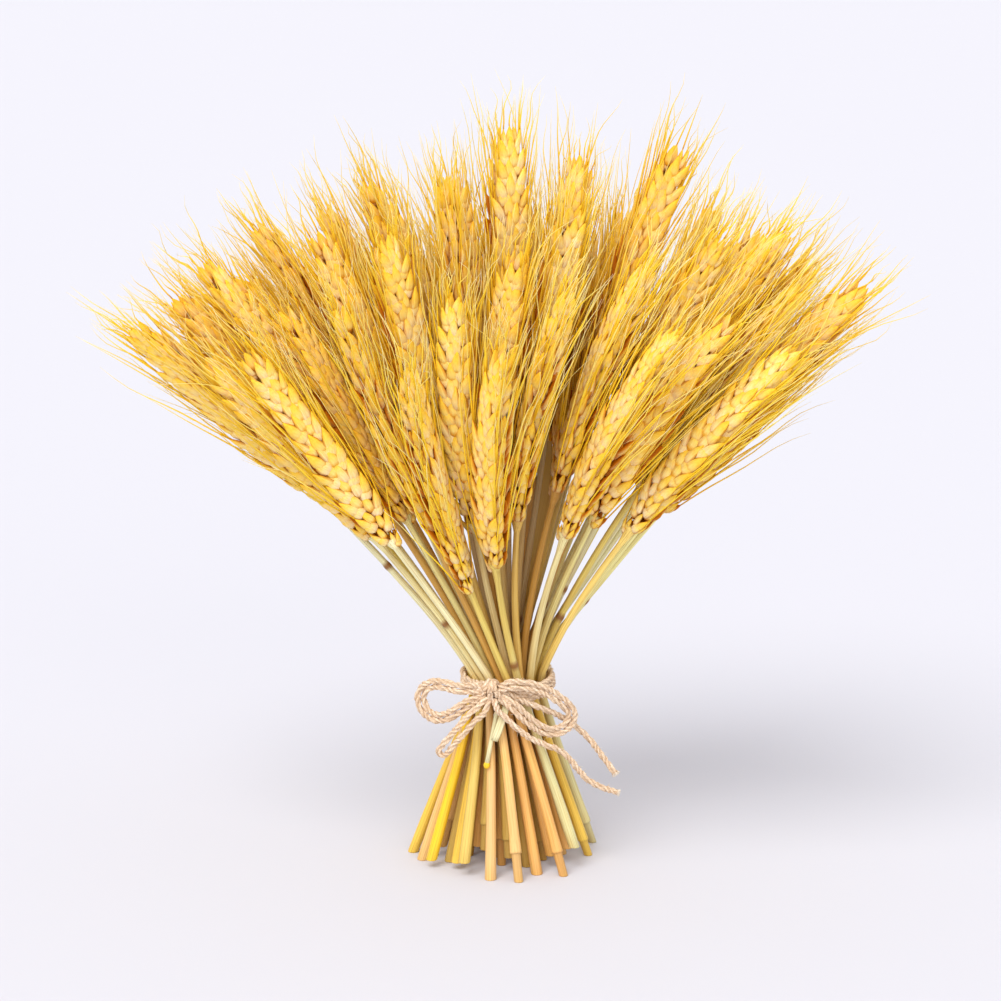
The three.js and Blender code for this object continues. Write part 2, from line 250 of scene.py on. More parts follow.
jute = Finish("jute", Roughness=0.85, Specular_IOR_Level=0.2)
rest = jute.attribute("rest", "Vector")
fibres = jute.noise(jute.stretched(rest, (2.6, 2.6, 0.45)), 1.6, 3.0)
blotches = jute.noise(jute.stretched(rest, (0.3, 0.3, 0.12)), 1.0)
weathered = jute.tinted((blotches - 0.4) * 1.2, jute.ramp(fibres, JUTE_FIBRES), WEATHERED_JUTE)
grooved = jute.tinted(jute.attribute("groove") * 0.42, weathered, JUTE_SHADOW)
jute.feed("Base Color", grooved)
jute.bump(fibres, 0.6, 0.3 * MM)
print("jute:", len(jute.tree.nodes), "nodes")

# %% [markdown]
# ## Drawing up a part
# Husks, awns, straws and leaves are all slender and closed. Each could be cut from a cylinder, but
# its rings would then need moving one by one. Here a flat polygon is extruded ring by ring and
# resized on the way, as a turned part is drawn up by hand. A part is modelled in millimetres at
# the origin, and it comes to its place and to metres when it is bent onto its line.

# %% Extruding a part ring by ring
def only(obj):
    """Leaves one object selected, so that an operator acts on it alone."""
    bpy.ops.object.select_all(action="DESELECT")
    obj.select_set(True)
    bpy.context.view_layer.objects.active = obj


def face_outwards():
    """Turns every face of the mesh in edit mode outwards, then leaves edit mode and smooths it."""
    bpy.ops.mesh.select_all(action="SELECT")
    bpy.ops.mesh.normals_make_consistent(inside=False)
    bpy.ops.object.mode_set(mode="OBJECT")
    bpy.ops.object.shade_smooth()


def drawn_up(name, sides, rings):
    """A closed part with one ring for each (height, half width, half depth, offset) given."""
    height, wide, thick, offset = rings[0]
    bpy.ops.object.select_all(action="DESELECT")
    bpy.ops.mesh.primitive_circle_add(vertices=sides, radius=1, fill_type="NGON")
    obj = bpy.context.object
    obj.name = name
    bpy.ops.object.mode_set(mode="EDIT")
    bpy.ops.mesh.select_all(action="SELECT")
    bpy.ops.transform.resize(value=(wide, thick, 1), center_override=(0, 0, 0))
    bpy.ops.transform.translate(value=(0, offset, height))
    for next_height, next_wide, next_thick, next_offset in rings[1:]:
        step = (0, next_offset - offset, next_height - height)
        bpy.ops.mesh.extrude_region_move(TRANSFORM_OT_translate={"value": step})
        growth = (next_wide / wide, next_thick / thick, 1)
        bpy.ops.transform.resize(value=growth, center_override=(0, next_offset, next_height))
        height, wide, thick, offset = next_height, next_wide, next_thick, next_offset
    face_outwards()
    return obj


# %% [markdown]
# ## Notes for the finishes
# A finish can't know whether a point lies at a husk's foot or at its tip, or how deep it is in the
# sheaf. Painting that by hand on thousands of husks would take days. The shape knows it while it
# is made, so each part carries notes: attributes with one number, or one vector, for each vertex.

# %% Notes
# inner, rim and lift carry painted shade; these plain values paint none.
PLAIN_NOTES = {"joint": 0, "above": 0, "inner": 0, "bristle": 0, "rim": 0, "lift": 1}


def coordinates(mesh):
    co = np.empty(len(mesh.vertices) * 3)
    mesh.vertices.foreach_get("co", co)
    return co.reshape(-1, 3)


def note(mesh, name, values):
    """Keeps a value for each vertex, or the same one for all, for the finishes to read."""
    values = np.asarray(values, dtype=float)
    if values.ndim == 0:
        values = np.full(len(mesh.vertices), float(values))
    kind = "FLOAT_VECTOR" if values.ndim == 2 else "FLOAT"
    kept = mesh.attributes.get(name) or mesh.attributes.new(name, kind, "POINT")
    kept.data.foreach_set("vector" if values.ndim == 2 else "value", values.ravel())


def noted(mesh, name):
    values = np.empty(len(mesh.vertices))
    mesh.attributes[name].data.foreach_get("value", values)
    return values


def mark(obj, finish, pale=0.0):
    """Gives a part its finish and the notes that every part of a stalk carries."""
    co = coordinates(obj.data)
    low, high = co[:, 2].min(), co[:, 2].max()
    note(obj.data, "rest", co)
    note(obj.data, "along", (co[:, 2] - low) / (high - low))
    note(obj.data, "pale", pale)
    for name, value in PLAIN_NOTES.items():
        note(obj.data, name, value)
    obj.data.materials.append(finish.material)
    return obj


# %% Placing and joining
def turn(axis, degrees):
    return Matrix.Rotation(math.radians(degrees), 4, axis)


def shift(x, y, z):
    return Matrix.Translation((x, y, z))


def placed_copy(source, place):
    twin = source.copy()
    twin.data = source.data.copy()
    twin.data.transform(place)
    bpy.context.scene.collection.objects.link(twin)
    return twin


def join(name, parts):
    bpy.ops.object.select_all(action="DESELECT")
    for part in parts:
        part.select_set(True)
    bpy.context.view_layer.objects.active = parts[0]
    bpy.ops.object.join()
    parts[0].name = name
    parts[0].data.name = name
    return parts[0]


def stands_for(piece, node):
    """The piece rides on the sheaf's one body and replaces its plain solid."""
    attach(piece, "root")
    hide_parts(node)


# %% [markdown]
# ## Bending things onto a curve
# Straws, ears and twine are modelled straight along Z and are then bent onto a curve. Blender's
# Curve modifier does this too, but the roll of a part then follows the curve's own twist. Bending
# the vertices in code keeps one fixed direction, `beside`, which tells which way local X points
# all along, so that an ear's broad side stays where its solid has it. The curve passes smoothly
# through the points that it is given.

# %% A smooth path
class Path:
    """A smooth curve through points in metres, on which straight parts are bent."""

    def __init__(self, points, beside, step=1.0 * MM):
        points = np.asarray(points, dtype=float)
        spans = np.linalg.norm(np.diff(points, axis=0), axis=1)
        at = np.concatenate([[0], np.cumsum(spans)])
        ends = np.vstack([2 * points[0] - points[1], points, 2 * points[-1] - points[-2]])
        slopes = (ends[2:] - ends[:-2]) / 2 / np.gradient(at)[:, None]
        run = np.linspace(0, at[-1], int(at[-1] / step) + 2)
        k = np.clip(np.searchsorted(at, run, side="right") - 1, 0, len(at) - 2)
        span = (at[k + 1] - at[k])[:, None]
        t = (run - at[k])[:, None] / span
        curve = (2 * t**3 - 3 * t**2 + 1) * points[k] + (3 * t**2 - 2 * t**3) * points[k + 1]
        curve += (t**3 - 2 * t**2 + t) * span * slopes[k] + (t**3 - t**2) * span * slopes[k + 1]
        self.curve = curve
        steps = np.linalg.norm(np.diff(curve, axis=0), axis=1)
        self.run = np.concatenate([[0], np.cumsum(steps)])
        self.ways = np.gradient(curve, self.run, axis=0)
        self.beside = np.asarray(beside, dtype=float)
        self.length = self.run[-1]

    def follow(self, values, s):
        """The values that are known along the path, at the distances s."""
        return np.stack([np.interp(s, self.run, values[:, i]) for i in range(3)], axis=1)

    def bend(self, co):
        """Straight coordinates in millimetres, with Z along the path, as places in metres."""
        s = co[:, 2] * MM
        centre = self.follow(self.curve, s)
        way = self.follow(self.ways, s)
        way /= np.linalg.norm(way, axis=1)[:, None]
        centre += way * (s - np.clip(s, 0, self.length))[:, None]
        side = self.beside - way * (way @ self.beside)[:, None]
        side /= np.linalg.norm(side, axis=1)[:, None]
        depth = np.cross(way, side)
        return centre + (co[:, :1] * side + co[:, 1:2] * depth) * MM


def set_places(obj, places):
    obj.data.vertices.foreach_set("co", places.ravel())
    obj.data.update()


def bend_mesh(obj, path):
    set_places(obj, path.bend(coordinates(obj.data)))

# %% [markdown]
# ## Twine
# Jute twine is three plies laid round each other, with loose fibres all along it. Three tubes
# could be wound together, but they would cut through each other in every groove. Here the outline
# of all three, three overlapping circles, is drawn once and swept up a screw, which is how a rope
# is laid, and gives one clean skin. The lay is then made uneven, and small copies of one fibre are
# stood on it.

# %% Sweeping the plies
TWINE = 2.2
PLY_OFFSET = 0.29 * TWINE
PLY_RADIUS = 0.28 * TWINE
TWINE_SIDES = 18
LAY_LENGTH = 10.0
LAY_STEP = 0.5


def ply_outline(angle):
    """The reach of three overlapping plies in one direction."""
    off = (angle + math.pi / 3) % (2 * math.pi / 3) - math.pi / 3
    across = PLY_OFFSET * math.sin(off)
    return PLY_OFFSET * math.cos(off) + math.sqrt(PLY_RADIUS**2 - across**2)


def swept_plies(length):
    """Three plies as one straight, even twine along Z, in millimetres."""
    bpy.ops.object.select_all(action="DESELECT")
    bpy.ops.mesh.primitive_circle_add(vertices=TWINE_SIDES, radius=1, fill_type="NOTHING")
    core = bpy.context.object
    for vertex in core.data.vertices:
        vertex.co *= ply_outline(math.atan2(vertex.co.y, vertex.co.x))
    bpy.ops.object.modifier_add(type="SCREW")
    screw = core.modifiers[-1]
    screw.angle = 2 * math.pi * length / LAY_LENGTH
    screw.screw_offset = length
    screw.steps = screw.render_steps = int(length / LAY_STEP)
    bpy.ops.object.modifier_apply(modifier=screw.name)
    bpy.ops.object.mode_set(mode="EDIT")
    bpy.ops.mesh.select_all(action="SELECT")
    bpy.ops.mesh.fill_holes(sides=0)
    face_outwards()
    mark(core, jute)
    co = coordinates(core.data)
    reach = np.hypot(co[:, 0], co[:, 1])
    note(core.data, "groove", (reach.max() - reach) / (reach.max() - reach.min()))
    return core


# %% A loose fibre
FIBRE_RINGS = [(0, 0.09, 0.09, 0), (0.5, 0.08, 0.08, 0.1), (1, 0.03, 0.03, 0.35)]
FIBRE_LENGTHS = (0.9, 1.3, 1.7, 2.1)
FIBRE_ROOT = 0.7
FRAYED_FIBRES = 40
FRAYED_END = 0.8
FRAYED_SIZE = 2.2

lie = random.Random(8)
fibre = mark(drawn_up("fibre", 3, FIBRE_RINGS), jute)
note(fibre.data, "groove", 0)
print("a fibre:", len(fibre.data.polygons), "faces")


def loose_fibre(length):
    """A fibre that stands out somewhere along the twine."""
    around = turn("Z", lie.uniform(0, 360))
    stand = turn("Y", lie.uniform(-80, 80)) @ turn("Z", lie.uniform(0, 360))
    here = shift(0, 0, lie.uniform(0, length)) @ around @ shift(FIBRE_ROOT, 0, 0) @ stand
    drawn_out = Matrix.Diagonal((1, 1, lie.choice(FIBRE_LENGTHS), 1))
    return placed_copy(fibre, here @ drawn_out)


def frayed_fibre(length):
    """A long fibre that fans out of the twine's cut end."""
    end = shift(0, 0, length - FRAYED_END) @ turn("Z", lie.uniform(0, 360))
    here = end @ shift(lie.uniform(0, 0.8), 0, 0) @ turn("Y", lie.uniform(0, 35))
    return placed_copy(fibre, here @ Matrix.Scale(FRAYED_SIZE, 4))


# %% Laying twine
def unsettle(core):
    """Swells and twists the twine unevenly, as hand-laid twine is."""
    co = coordinates(core.data)
    up = co[:, 2]
    start = lie.uniform(0, 50)
    swell = 1 + 0.06 * np.sin(1.1 * up + start) + 0.05 * np.sin(2.7 * up + 2 * start)
    co[:, :2] *= swell[:, None]
    slack = 0.7 * np.sin(0.33 * up + start) + 0.4 * np.sin(0.9 * up + 3 * start)
    across = co[:, 0] * np.cos(slack) - co[:, 1] * np.sin(slack)
    co[:, 1] = co[:, 0] * np.sin(slack) + co[:, 1] * np.cos(slack)
    co[:, 0] = across
    set_places(core, co)


def lay_twine(name, length, fibres_per_mm=3.0, frayed=False):
    """A straight twine along Z, in millimetres, with its loose fibres."""
    core = swept_plies(length)
    unsettle(core)
    parts = [core]
    parts += [loose_fibre(length) for _ in range(int(length * fibres_per_mm))]
    parts += [frayed_fibre(length) for _ in range(FRAYED_FIBRES if frayed else 0)]
    return join(name, parts)


# %% [markdown]
# ## The bow
# The bow is tied from a doubled twine: each loop is two strands side by side, the left tail is the
# twine's fold, and the right tails are its two cut ends. A simulation could tie it, but its loops
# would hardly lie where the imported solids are. So each strand is laid on the route of its solid,
# in millimetres from the knot's middle. The two strands of a loop share one route, and run on
# either side of it.

# %% Routes of the loops
LEFT_LOOP = [
    (-6.6, -0.6, 1.5), (-9.7, -0.8, 1.3), (-13.4, 0, 1.3), (-17.4, 1.2, 2), (-21.4, 2.4, 2.4),
    (-25.2, 3.4, 1), (-27.3, 3.8, -2.2), (-27, 3.6, -6), (-24.8, 2.8, -9.4), (-21, 1.8, -10.9),
    (-16.6, 0.6, -9.7), (-12.1, -0.4, -6.7), (-8.6, -0.8, -4.3),
]
RIGHT_LOOP = [
    (6.6, -1.2, 2.9), (11, -0.8, 2.8), (15.8, 0, 1.9), (20.6, 1, -0.1), (24.8, 2, -2.9),
    (28.2, 2.8, -5.9), (30.5, 3.2, -9.2), (30.3, 3.2, -12.6), (27.8, 2.4, -15.2), (24, 1, -16.2),
    (20, -0.6, -15.2), (15.8, -1.8, -12.4), (11.6, -2.6, -8.5), (8, -2.8, -4.9),
]
SIDE_BY_SIDE = (TWINE + 0.2) / 2
KNOT_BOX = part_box("twine_knot")
KNOT = np.array([(low + high) / 2 for low, high in zip(*KNOT_BOX)])
KNOT_DEPTH = 0.4


def beside_route(route, offset):
    """The route moved sideways, as seen from the front."""
    route = np.array(route, dtype=float)
    side = np.cross(np.gradient(route, axis=0), (0, -1, 0))
    return route + offset * side / np.linalg.norm(side, axis=1)[:, None]


def into_knot(route, both_ends):
    """The route with its ends led on into the knot, where the wraps hide them."""
    last = [route[-1] * KNOT_DEPTH] if both_ends else []
    return np.vstack([route[0] * KNOT_DEPTH, route] + last)


print("middle of the knot:", [round(x, 4) for x in KNOT])

# %% Routes of the tails
LEFT_TAIL = [
    (-4.2, -4, -6.2), (-7.6, -4.4, -9.2), (-11.7, -4.6, -13.9), (-15.5, -4.4, -18.4),
    (-18.7, -4, -22.6),
]
UPPER_TAIL = [
    (6.6, 0.9, -1.4), (10, 0.9, -3.2), (14.4, 1.3, -5.2), (21.3, 3.5, -8.5), (26.8, 5.8, -11.8),
    (32.3, 7, -15.9), (37.2, 7, -20.5), (42, 6, -26.6), (45, 5.2, -30.6), (47.5, 4.5, -33.7),
]
LOWER_TAIL = [
    (2.2, -3.4, -6.4), (6, -3.6, -10.1), (10.5, -3.4, -14.4), (15.3, -2.8, -18.1),
    (20.5, -1.8, -20.7), (25.5, -0.8, -23), (29.6, 0, -26.6), (33, 0.6, -31.1),
    (36.5, 1, -35.1), (40.6, 1.4, -37.9), (44.7, 1.6, -39.6), (48.2, 1.6, -40.6),
]
FOLD_OPEN = 1.7
ROUND_THE_FOLD = (0.8, 1.57, 2.34)


def folded_route(route):
    """Out along one side of the route, round a half circle at its end, and back."""
    out = beside_route(route, FOLD_OPEN)
    back = beside_route(route, -FOLD_OPEN)
    tip = np.array(route[-1], dtype=float)
    ahead = tip - np.array(route[-2], dtype=float)
    ahead *= FOLD_OPEN / np.linalg.norm(ahead)
    across = out[-1] - tip
    bend = [tip + ahead * math.sin(a) + across * math.cos(a) for a in ROUND_THE_FOLD]
    return np.vstack([out, bend, back[::-1]])


BOW = {
    "bow_loop_left_outer": (beside_route(LEFT_LOOP, SIDE_BY_SIDE), "object"),
    "bow_loop_left_inner": (beside_route(LEFT_LOOP, -SIDE_BY_SIDE), "object"),
    "bow_loop_right_outer": (beside_route(RIGHT_LOOP, -SIDE_BY_SIDE), "object"),
    "bow_loop_right_inner": (beside_route(RIGHT_LOOP, SIDE_BY_SIDE), "object"),
    "bow_tail_left": (folded_route(LEFT_TAIL), "object"),
    "bow_tail_right_upper": (np.array(UPPER_TAIL), "bare"),
    "bow_tail_right_lower": (np.array(LOWER_TAIL), "bare"),
}

# %% Tying the bow
for node, (route, far_end) in BOW.items():
    path = Path(KNOT + into_knot(route, far_end == "object") * MM, (0, 1, 0), 0.5 * MM)
    strand = lay_twine(node.replace("bow", "jute"), path.length / MM, frayed=far_end == "bare")
    bend_mesh(strand, path)
    stands_for(strand, node)
    print(node, round(path.length / MM), "mm")

# %% [markdown]
# ## The band and the knot
# One long twine winds three times round the waist of the sheaf. Three separate rings would be
# simpler, but the eye finds the place where a ring closes. So the band is one helix that rests
# turn against turn, ripples over the stems and sags at the front, where the knot pulls it down.
# The knot could be tied strand by strand, but nobody sees its inside: it is three tilted wraps
# round those turns.

# %% Band
TIE_HEIGHT = 70 * MM
BAND_TURNS = 3
BAND_POINTS = 40
TURN_SPACING = 2.1 * MM
SAG = 1.3 * MM
RIPPLE = 0.25 * MM

band_co = coordinates(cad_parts["twine_band"].data)
WAIST = (band_co[:, :2].min(axis=0) + band_co[:, :2].max(axis=0)) / 2
WAIST_REACH = np.hypot(*(band_co[:, :2] - WAIST).T).max() - TWINE * MM / 2
front = math.atan2(KNOT[1] - WAIST[1], KNOT[0] - WAIST[0])
turns = []
for k in range(BAND_TURNS * BAND_POINTS + 1):
    done = k / BAND_POINTS
    angle = front + 2 * math.pi * done
    ripple = RIPPLE * math.sin(5 * angle + 2 * done)
    reach = WAIST_REACH + ripple
    height = TIE_HEIGHT + (done - BAND_TURNS / 2) * TURN_SPACING - SAG * math.cos(angle - front)
    across, back = reach * math.cos(angle), reach * math.sin(angle)
    turns.append((WAIST[0] + across, WAIST[1] + back, height + ripple))
band_path = Path(turns, (0, 0, 1), 0.5 * MM)
band = lay_twine("jute_band", band_path.length / MM, 1.0)
bend_mesh(band, band_path)
stands_for(band, "twine_band")
print("band:", round(band_path.length / MM), "mm of twine")

# %% Knot
# Each wrap: (place across the knot, tilt in degrees, half depth, half height)
WRAPS = [(-2.5, 18, 2.1, 3.4), (-0.2, -6, 2.3, 3.7), (2.3, -24, 2.0, 3.3)]
WRAP_POINTS = 16

knot_face = Matrix.Rotation(front + math.pi / 2, 3, "Z")
wraps = []
for x, tilt, deep, high in WRAPS:
    ring = []
    for k in range(WRAP_POINTS + 1):
        a = 2 * math.pi * k / WRAP_POINTS
        point = Vector((x, -deep * math.cos(a), high * math.sin(a)))
        point.rotate(Matrix.Rotation(math.radians(tilt), 3, "Y"))
        ring.append(KNOT + np.array(knot_face @ point) * MM)
    path = Path(ring, knot_face @ Vector((1, 0, 0)), 0.4 * MM)
    wrap = lay_twine("wrap", path.length / MM)
    bend_mesh(wrap, path)
    wraps.append(wrap)
knot = join("jute_knot", wraps)
stands_for(knot, "twine_knot")
print("knot:", len(WRAPS), "wraps,", len(knot.data.polygons), "faces")

# %% [markdown]
# ## Dry straw
# Straw is a tube of long fibres, so its colour runs in streaks along the stem, and stems from one
# field ripen unevenly. One colour with noise over it would make fifty equal stems. Each stalk
# carries a `dye` between 0 and 1 instead, which picks its own colour below the tie and another
# above it. The noises read `rest`, the stem's coordinates before it was bent, so the streaks
# follow every bend. `joint` browns the joints, and `inner` paints shade on the stems that stand
# deep in the sheaf.

# %% Straw finish
FOOT_TONES = [
    (0.0, shade(236, 192, 130)),
    (0.16, shade(222, 216, 158)),
    (0.3, shade(238, 182, 106)),
    (0.44, shade(250, 206, 44)),
    (0.5, shade(226, 196, 104)),
    (0.62, shade(242, 202, 82)),
    (0.74, shade(206, 176, 92)),
    (0.84, shade(242, 196, 126)),
]
TOP_TONES = [
    (0.0, shade(250, 240, 176)),
    (0.25, shade(238, 218, 120)),
    (0.42, shade(252, 220, 122)),
    (0.55, shade(246, 244, 196)),
    (0.75, shade(222, 174, 90)),
    (0.85, shade(244, 236, 160)),
]
SUNNED_STRAW = shade(238, 190, 84)
STREAK_BROWN = shade(168, 122, 44)
STRAW_SHADE_DEEP_IN_SHEAF = shade(156, 100, 16)
JOINT_BROWN = shade(150, 104, 56)
SCRAMBLE = 7.3

straw = Finish("dry_straw", Roughness=0.4, Specular_IOR_Level=0.3)
rest = straw.attribute("rest", "Vector")
streaks = straw.noise(straw.stretched(rest, (2.4, 2.4, 0.03)), 1.0, 3.0)
patches = straw.noise(straw.stretched(rest, (0.12, 0.12, 0.05)), 1.0)
dye = straw.attribute("dye")
scrambled = dye * SCRAMBLE
lower = straw.ramp(dye, FOOT_TONES, "CONSTANT")
upper = straw.ramp(scrambled - scrambled.whole(), TOP_TONES, "CONSTANT")
own_colour = straw.tinted(straw.attribute("above"), lower, upper)
sunned = straw.tinted((patches - 0.45) * 1.6, own_colour, SUNNED_STRAW)
streaked = straw.tinted((streaks - 0.43) * 2.0, sunned, STREAK_BROWN)
# Painted shade on the stems that stand deep in the sheaf.
shaded = straw.tinted(straw.attribute("inner") * 0.7, streaked, STRAW_SHADE_DEEP_IN_SHEAF)
straw.feed("Base Color", straw.tinted(straw.attribute("joint"), shaded, JOINT_BROWN))
straw.bump(streaks, 0.35, 0.3 * MM)
print("straw:", len(FOOT_TONES), "tones below the tie and", len(TOP_TONES), "above it")

# %% [markdown]
# ## Husks
# The husks are papery shells. The broad outer ones, the glumes, are cream, and the slim inner
# ones, the lemmas, gold. Real shells let some light through, which a shader could do, but with so
# many on top of each other it would be slow and noisy. Their glow is painted into the colours
# instead, and so is much of their shade. `along` runs from a painted shade at the foot, where a
# shell tucks under the one below, to pale at the bulge and yellow at the tip. `rim` paints shade
# on the edges, where a shell's neighbours would shade it, `lift` paints shade on what lies close
# to the ear's middle, and `inner` on what stands deep in the sheaf. Fine veins run from foot
# to tip.

# %% Husk finish
# The brown at the start of each skin is a painted shade at the shell's foot, where it tucks under
# the shell below; the rest is the shell's own colour.
LEMMA_SKIN_AND_FOOT_SHADE = [
    (0.0, shade(200, 124, 20)),
    (0.16, shade(236, 178, 64)),
    (0.3, shade(255, 232, 138)),
    (0.6, shade(254, 217, 84)),
    (1.0, shade(252, 204, 42)),
]
GLUME_SKIN_AND_FOOT_SHADE = [
    (0.0, shade(208, 144, 50)),
    (0.16, shade(255, 240, 200)),
    (0.5, shade(255, 232, 160)),
    (0.8, shade(255, 220, 96)),
    (1.0, shade(250, 200, 40)),
]
RIPE_HUSK = shade(248, 184, 28)
VEIN_GOLD = shade(236, 168, 30)
RIM_SHADE = shade(192, 108, 4)
SHADE_BETWEEN_HUSKS = shade(176, 90, 2)
HUSK_SHADE_DEEP_IN_SHEAF = shade(164, 88, 3)

husk = Finish("husk", Roughness=0.5, Specular_IOR_Level=0.15)
veins = husk.noise(husk.stretched(husk.attribute("rest", "Vector"), (1.5, 1.5, 0.12)), 1.3)
along = husk.attribute("along")
skins_and_foot_shade = husk.ramp(along, LEMMA_SKIN_AND_FOOT_SHADE), husk.ramp(along, GLUME_SKIN_AND_FOOT_SHADE)
skin_and_foot_shade = husk.tinted(husk.attribute("pale"), *skins_and_foot_shade)
toned = husk.tinted(husk.attribute("tone") * 0.5, skin_and_foot_shade, RIPE_HUSK)
veined = husk.tinted((veins - 0.46) * 2.0, toned, VEIN_GOLD)
# Painted shade on the shell's edges, where its neighbours would shade it.
rim_shaded = husk.tinted((husk.attribute("rim") - 0.25) * 1.5, veined, RIM_SHADE)
# Painted shade on what lies close to the ear's middle, between the husks.
shaded_between_husks = husk.tinted((1 - husk.attribute("lift")) * 0.97, rim_shaded, SHADE_BETWEEN_HUSKS)
# Painted shade on what stands deep in the sheaf.
husk.feed("Base Color", husk.tinted(husk.attribute("inner") * 0.75, shaded_between_husks, HUSK_SHADE_DEEP_IN_SHEAF))
husk.bump(veins, 0.5, 0.4 * MM)
print("husk:", len(husk.tree.nodes), "nodes")

# %% [markdown]
# ## Awns
# An awn is the husk's own fibre drawn out to a bristle: gold where it leaves the husk and almost
# white at its end. It is too thin for a pattern across it, so its finish is a run of colour from
# end to end, with flecks along it, the same ripeness as the husks, and the same painted shade
# where it stands deep in the sheaf.

# %% Awn finish
AWN_RUN = [
    (0.0, shade(255, 202, 24)),
    (0.4, shade(255, 220, 60)),
    (0.75, shade(255, 234, 136)),
    (1.0, shade(252, 242, 196)),
]
RIPE_AWN = shade(252, 200, 60)
AWN_FLECK = shade(236, 170, 40)
AWN_SHADE_DEEP_IN_SHEAF = shade(196, 116, 6)

bristle = Finish("awn", Roughness=0.45, Specular_IOR_Level=0.15)
awn_run = bristle.ramp(bristle.attribute("along"), AWN_RUN)
toned = bristle.tinted(bristle.attribute("tone") * 0.5, awn_run, RIPE_AWN)
rest = bristle.attribute("rest", "Vector")
flecks = bristle.noise(bristle.stretched(rest, (0.5, 0.5, 0.08)), 1.0)
flecked = bristle.tinted(flecks - 0.45, toned, AWN_FLECK)
# Painted shade on the awns that stand deep in the sheaf.
bristle.feed("Base Color", bristle.tinted(bristle.attribute("inner") * 0.58, flecked, AWN_SHADE_DEEP_IN_SHEAF))
print("awn:", len(bristle.tree.nodes), "nodes")

# %% [markdown]
# ## One lemma, one glume, one awn
# Lemmas and glumes are boat shapes: round at the foot, bulging at the back and flat at the belly.
# They could be sculpted, but each is repeated thousands of times, so it has only a few dozen
# faces. An eight-sided part is drawn up, and the vertices in front of its middle are pressed back
# to make the belly. The awn is a three-sided needle, one millimetre long until it is stretched,
# with rings enough to bend smoothly.

# %% The shells
LEMMA_RINGS = [
    (0, 0.7, 0.5, 0),
    (0.6, 1.55, 1.15, 0.1),
    (2.2, 2.25, 1.5, 0.35),
    (4.8, 2.3, 1.5, 0.45),
    (7.4, 1.65, 1.1, 0.3),
    (9.2, 0.85, 0.55, 0.15),
    (10.6, 0.22, 0.2, 0),
]
GLUME_RINGS = [
    (0, 1.2, 0.7, 0),
    (0.5, 2.25, 1.2, 0.15),
    (1.9, 2.95, 1.75, 0.5),
    (4.0, 3.0, 1.8, 0.6),
    (5.9, 2.45, 1.35, 0.45),
    (7.3, 1.4, 0.75, 0.2),
    (8.0, 0.35, 0.25, 0),
]
SHELL_SIDES = 8
BELLY = 0.35


def flatten_belly(shell):
    only(shell)
    bpy.ops.object.mode_set(mode="EDIT")
    bpy.ops.mesh.select_all(action="DESELECT")
    bpy.ops.object.mode_set(mode="OBJECT")
    for vertex in shell.data.vertices:
        vertex.select = vertex.co.y < -0.05
    bpy.ops.object.mode_set(mode="EDIT")
    bpy.ops.transform.resize(value=(1, BELLY, 1), center_override=(0, 0, 0))
    bpy.ops.object.mode_set(mode="OBJECT")


def note_rim(shell):
    """Notes 0 along a shell's ridge and 1 at its edges, where the finish paints its neighbours'
    shade.
    """
    co = coordinates(shell.data)
    level = np.round(co[:, 2], 1)
    ridge = np.array([co[level == here, 1].max() for here in level])
    note(shell.data, "rim", np.clip(1 - co[:, 1] / ridge, 0, 1))


def make_shell(name, rings, pale):
    shell = drawn_up(name, SHELL_SIDES, rings)
    flatten_belly(shell)
    mark(shell, husk, pale)
    note_rim(shell)
    print(name, len(shell.data.polygons), "faces")
    return shell


lemma = make_shell("lemma", LEMMA_RINGS, 0.0)
glume = make_shell("glume", GLUME_RINGS, 1.0)

# %% The awn
AWN_THICKNESS = [0.3, 0.35, 0.34, 0.31, 0.26, 0.21, 0.16, 0.11, 0.04]
AWN_RINGS = [(k / 8, thick, thick, 0) for k, thick in enumerate(AWN_THICKNESS)]

awn = mark(drawn_up("awn", 3, AWN_RINGS), bristle)
note(awn.data, "bristle", 1)
print("awn", len(awn.data.polygons), "faces")

# %% [markdown]
# ## Ears
# An ear is two rows of spikelets that alternate up a zigzag stalk. In a spikelet two glumes stand
# at the sides, six lemmas overlap between them, and three of those carry an awn. Scattering husks
# over a spindle would be quicker, but an ear of wheat is known by its plait, so each spikelet is
# placed: small at the ear's foot, full in the middle, smaller at the tip, where the last one
# stands upright. Six ears are built of copies, with a little chance in each angle, and each stalk
# gets a copy of one.

# %% A spikelet
EAR_LENGTH = 100.0
UP = Vector((0, 0, 1))
AWN_ROOT = Vector((0, 0, 10.3))
AWN_PAST_EAR = (11, 6)
SHORTEST_AWN = 9
GLUME_PALE = (0.1, 1.5)
LEMMA_PALE = (-0.5, 1.0)

# Each shell: (which, out, depth, rise, tilt outward, spread, facing, has an awn)
SHELLS = [
    ("glume", 1.3, 1.9, 0.0, 9, 6, 0, False),
    ("glume", 1.3, -1.9, 0.0, 9, 6, 180, False),
    ("lemma", 2.0, 2.3, 2.3, 6, 8, -20, True),
    ("lemma", 2.0, -2.3, 2.3, 6, 8, 200, True),
    ("lemma", -0.4, 2.5, 3.0, -9, 5, 10, False),
    ("lemma", -0.4, -2.5, 3.0, -9, 5, 170, False),
    ("lemma", 2.2, 0.0, -1.2, 6, 0, -90, False),
    ("lemma", 1.3, 0.0, 3.6, 1, 0, -90, True),
]

chance = random.Random(17)


